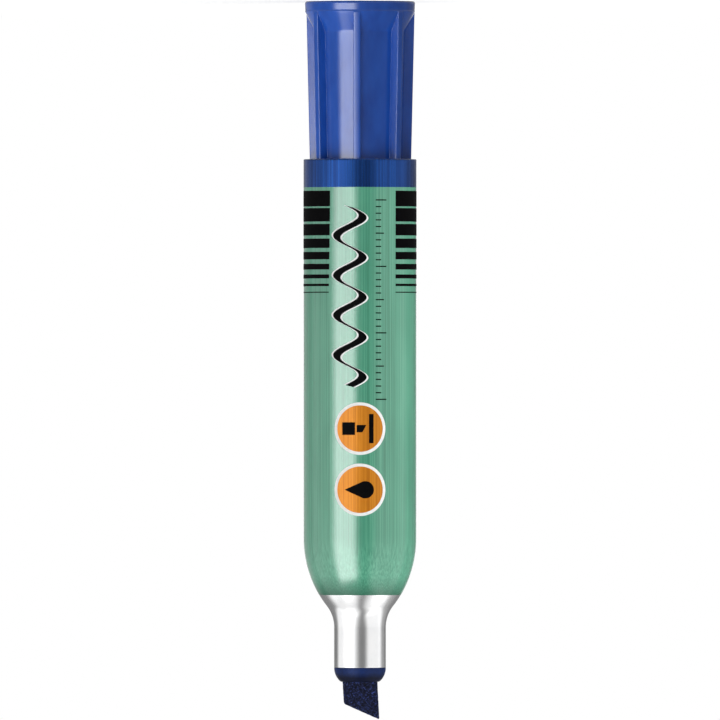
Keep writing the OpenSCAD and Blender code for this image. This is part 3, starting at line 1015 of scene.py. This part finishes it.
seal_low, seal_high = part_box("cap_seal")
SEAL_R = seal_high.x
SEAL_BORE_R = SEAL_R - SEAL_WALL
seal_floor_z = seal_low.z + SEAL_WALL
seal_edges = (
    (SEAL_R - SEAL_EDGE, seal_low.z + SEAL_EDGE, -90, 0),
    (SEAL_R - SEAL_EDGE, seal_high.z - SEAL_EDGE, 0, 90),
    (SEAL_BORE_R + SEAL_EDGE, seal_high.z - SEAL_EDGE, 90, 180),
    (SEAL_BORE_R - SEAL_EDGE, seal_floor_z + SEAL_EDGE, 0, -90),
)
seal_profile = [(0, seal_low.z)]
for edge_r, edge_z, start, end in seal_edges:
    seal_profile += arc(edge_r, edge_z, SEAL_EDGE, start, end, SEAL_EDGE_STEPS)
seal_profile.append((0, seal_floor_z))
seal = skinned(
    "cap_seal_sleeve",
    turned(seal_profile, around(SEAL_SIDES)),
    [moulded("seal_plastic", (0.66, 0.67, 0.68), (0.78, 0.79, 0.8), roughness=0.4)],
)
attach(seal, "cap")
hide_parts("cap_seal")

# Cap shell
# A push-on cap of glossy blue plastic, moulded in one piece with seven ribs between wide flutes.
# Its flange is the closed end, and its collar grips inside the rear of the barrel when it is posted.
RIB_COUNT = 7
RIB_W = 1.1 * MM
RIB_TURN = -86.8
RIB_EDGE = 0.16 * MM
RIB_FOOT = 0.03 * MM
RIB_DRAFT = 2.5
RIB_RELIEF = 0.2 * MM
FLANGE_T = 1.4 * MM
FLANGE_EDGE = 0.3 * MM
FLANGE_EDGE_STEPS = 6
FLANGE_DRAFT = 2.5
FLUTE_SET_BACK = 0.15 * MM
FLUTE_SLOPE = 3.05 * MM
FLUTE_SOFT = 0.22 * MM
FLUTE_OVER = 0.5 * MM
FLUTE_LEAST = 0.004
COLLAR_SET_BACK = 0.3 * MM
COLLAR_EDGE = 0.2 * MM
COLLAR_EDGE_STEPS = 5
CAP_WALL = 1.0 * MM
CAP_PLATE = 1.4 * MM
POST_GAP = 0.07 * MM
SEAL_ROOM = 0.6 * MM
SEAL_SOCKET = 4.0 * MM
PRESS_GAP = 0.02 * MM
DISH_DEPTH = 0.4 * MM
DISH_RING = 1.7 * MM
DISH_EDGE = 0.1 * MM
GATE_R = 0.9 * MM
GATE_DEPTH = 0.18 * MM
TOP_STEPS = 4
EDGE_STEPS = 5
FLANK_SHARES = (0.05, 0.5, 0.95)
FOOT_STEPS = 5
FLOOR_STEPS = 8
FLOOR_EDGE_SHARE = 0.02
ROUND_SHARE = 0.4
SLOPE_RINGS = 12
SOFT_RINGS = 4
FLUTE_RINGS = 10

cap_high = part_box("cap_shell")[1]
FLANGE_R = cap_high.x
CAP_END_Z = cap_high.z
COLLAR_R = BORE_R - POST_GAP
MOUTH_R = COLLAR_R - CAP_WALL
CAVITY_R = SEAL_R + SEAL_ROOM
rib_end_r = COLLAR_R - RIB_RELIEF
flute_z = FLANGE_T + FLUTE_SET_BACK
slope_z = flute_z + FLUTE_SLOPE
flute_end_z = RIM_Z + FLUTE_OVER
collar_z = flute_end_z + COLLAR_SET_BACK
plate_z = DISH_DEPTH + CAP_PLATE
dish_r = FLANGE_R - DISH_RING


def rib_r(z):
    """Radius of the ribs, which widen evenly from the barrel's rim to the flange."""
    return rib_end_r + (FLANGE_R - rib_end_r) * (RIM_Z - z) / (RIM_Z - FLANGE_T)


FLUTE_DEPTH = rib_r(flute_end_z) - CAP_WALL - CAVITY_R


def flute_depth(z):
    """Depth of the flutes under the ribs, which slopes up to the flange with a soft corner."""
    share = (z - flute_z) / FLUTE_SLOPE
    soft = FLUTE_SOFT / FLUTE_SLOPE
    if share > 1 + soft:
        return FLUTE_DEPTH
    if share > 1 - soft:
        return FLUTE_DEPTH * (1 - (1 + soft - share) ** 2 / (4 * soft))
    return FLUTE_DEPTH * max(share, FLUTE_LEAST)


def half_rib(depth, radius):
    """Angles and depths from the middle of a rib to the middle of the flute beside it."""
    edge = min(RIB_EDGE, ROUND_SHARE * depth)
    foot = min(RIB_FOOT, ROUND_SHARE * depth)
    half = RIB_W / 2
    draft = math.tan(math.radians(RIB_DRAFT))
    points = [((half - edge) * i / TOP_STEPS, 0) for i in range(TOP_STEPS)]
    for i in range(EDGE_STEPS + 1):
        turn = math.pi / 2 * i / EDGE_STEPS
        points.append((half - edge + edge * math.sin(turn), edge - edge * math.cos(turn)))
    for share in FLANK_SHARES:
        sunk = edge + (depth - edge - foot) * share
        points.append((half + draft * (sunk - edge), sunk))
    foot_side = half + draft * (depth - edge - foot)
    for i in range(FOOT_STEPS + 1):
        turn = math.pi / 2 * i / FOOT_STEPS
        points.append((foot_side + foot - foot * math.cos(turn), depth - foot + foot * math.sin(turn)))
    angles = [(side / radius, sunk) for side, sunk in points]
    start, end = angles[-1][0], math.pi / RIB_COUNT
    shares = [FLOOR_EDGE_SHARE] + [i / FLOOR_STEPS for i in range(1, FLOOR_STEPS + 1)]
    angles += [(start + (end - start) * share, depth) for share in shares]
    return angles


def ribbed_ring(z, depth):
    """Ring of the cap's outside at a height, with its ribs and flutes."""
    radius = rib_r(z)
    half = half_rib(depth, radius)
    both = [(-angle, sunk) for angle, sunk in half[-2:0:-1]] + half
    ring = []
    for i in range(RIB_COUNT):
        middle = math.radians(RIB_TURN) + 2 * math.pi * i / RIB_COUNT
        for angle, sunk in both:
            a = middle + angle
            ring.append(((radius - sunk) * math.cos(a), (radius - sunk) * math.sin(a), z))
    return ring


rib_angles = [math.atan2(y, x) for x, y, _ in ribbed_ring(slope_z, FLUTE_DEPTH)]
foot_profile = [
    (0, DISH_DEPTH - GATE_DEPTH),
    (GATE_R, DISH_DEPTH - GATE_DEPTH),
    (GATE_R + GATE_DEPTH, DISH_DEPTH),
    (dish_r - DISH_DEPTH, DISH_DEPTH),
    (dish_r - DISH_EDGE, DISH_EDGE),
    (dish_r + DISH_EDGE, 0),
]
foot_profile += arc(FLANGE_R - FLANGE_EDGE, FLANGE_EDGE, FLANGE_EDGE, -90, 0, FLANGE_EDGE_STEPS)
for z in (FLANGE_EDGE + EDGE_BAND, FLANGE_T - EDGE_BAND, FLANGE_T):
    foot_profile.append((FLANGE_R - (z - FLANGE_EDGE) * math.tan(math.radians(FLANGE_DRAFT)), z))
flute_length = flute_end_z - slope_z
flute_heights = [flute_z + FLUTE_SLOPE * i / SLOPE_RINGS for i in range(SLOPE_RINGS)]
flute_heights += [slope_z + FLUTE_SOFT * i / SOFT_RINGS for i in range(1 - SOFT_RINGS, SOFT_RINGS + 1)]
flute_heights += [slope_z + flute_length * i / FLUTE_RINGS for i in range(1, FLUTE_RINGS + 1)]
collar_profile = [
    (rib_r(flute_end_z), flute_end_z),
    (rib_r(collar_z), collar_z),
    (COLLAR_R, collar_z + RIB_RELIEF),
]
collar_edge_z = CAP_END_Z - COLLAR_EDGE
collar_profile += arc(COLLAR_R - COLLAR_EDGE, collar_edge_z, COLLAR_EDGE, 0, 90, COLLAR_EDGE_STEPS)
collar_profile += arc(MOUTH_R + COLLAR_EDGE, collar_edge_z, COLLAR_EDGE, 90, 180, COLLAR_EDGE_STEPS)
collar_profile += [
    (MOUTH_R, collar_z + MOUTH_R - CAVITY_R),
    (CAVITY_R, collar_z),
    (CAVITY_R, plate_z + SEAL_SOCKET),
    (SEAL_R + PRESS_GAP, plate_z + SEAL_SOCKET),
    (SEAL_R + PRESS_GAP, plate_z),
    (0, plate_z),
]
cap_rings = turned(foot_profile, rib_angles)
cap_rings += [ribbed_ring(z, flute_depth(z)) for z in flute_heights]
cap_rings += turned(collar_profile, rib_angles)
cap_blues = ((0.0075, 0.0545, 0.305), (0.0096, 0.068, 0.362), (0.013, 0.08, 0.413))
cap = skinned(
    "cap_shell_fluted",
    cap_rings,
    [glossy_plastic("cap_blue", cap_blues, roughness=0.13, gloss=0.68)],
    sharp=34,
)
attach(cap, "cap")
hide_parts("cap_shell")
on_the_cap.objects.link(cap)
off_the_cap.objects.link(cap)
off_the_cap.collection_objects[0].light_linking.link_state = "EXCLUDE"
